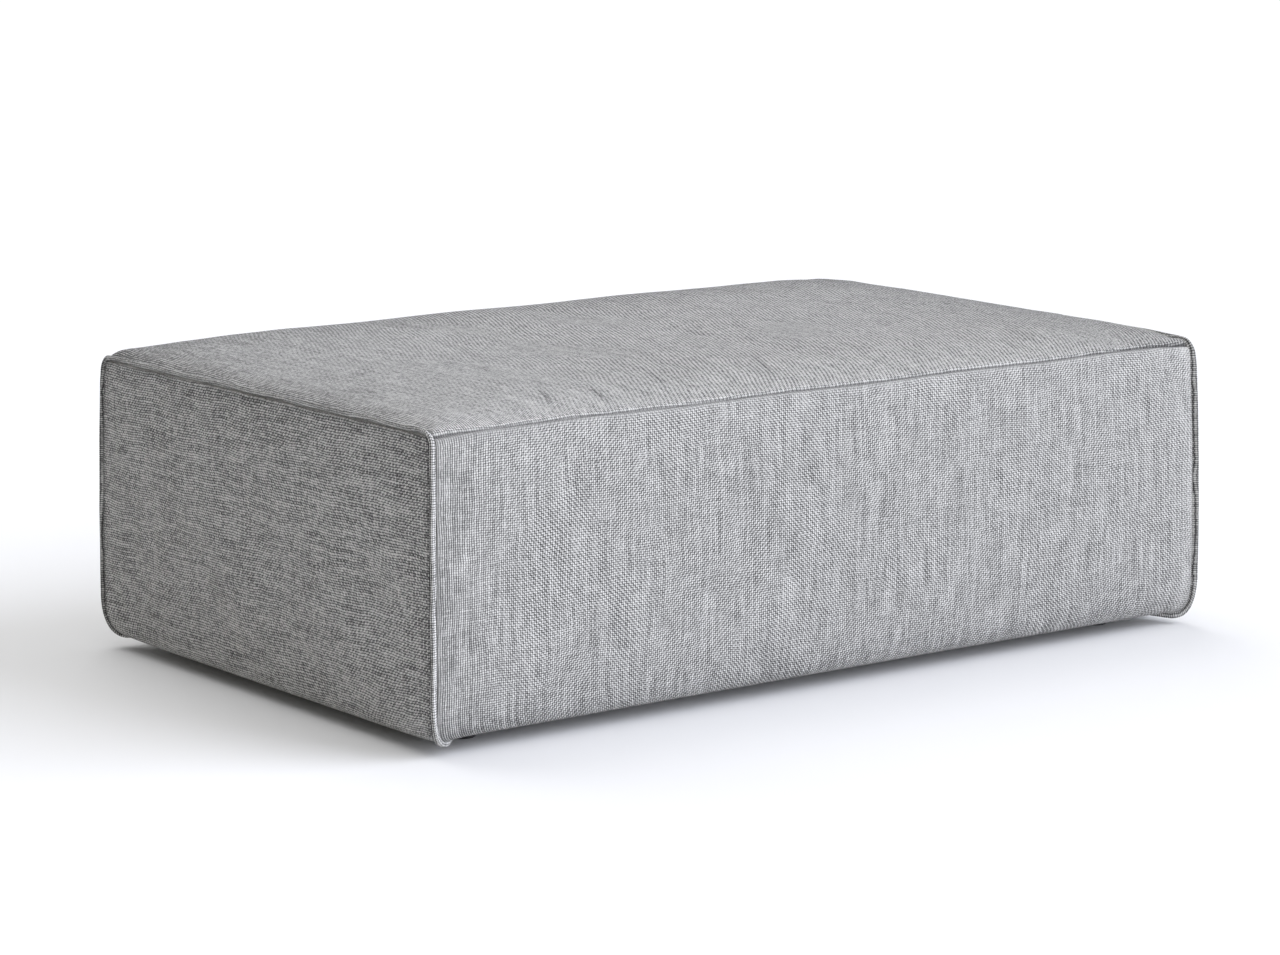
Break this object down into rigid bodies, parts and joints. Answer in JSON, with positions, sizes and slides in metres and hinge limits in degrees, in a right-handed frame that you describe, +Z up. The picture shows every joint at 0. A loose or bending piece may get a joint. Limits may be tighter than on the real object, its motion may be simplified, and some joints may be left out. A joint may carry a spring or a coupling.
{
  "type": "rectangular ottoman",
  "caption": "Low rectangular upholstered ottoman with a crowned top, raised flange seams round its end panels and low glides underneath.",
  "frame": {"origin": "on the floor, under the middle of the ottoman", "axes": "+X along the length, +Y from the front long panel to the back one, +Z up"},
  "size_m": [1.2138, 0.7598, 0.4],
  "materials": {
    "cover": "plain-woven light grey melange upholstery cloth, matt",
    "welt": "the same cloth, folded and sewn into a raised flange",
    "glide": "moulded black plastic, satin"
  },
  "bodies": {
    "root": {"ottoman_body": "cover", "end_welt_left": "welt", "end_welt_right": "welt", "glide_front_left": "glide", "glide_front_right": "glide", "glide_back_left": "glide", "glide_back_right": "glide"}
  },
  "joints": []
}
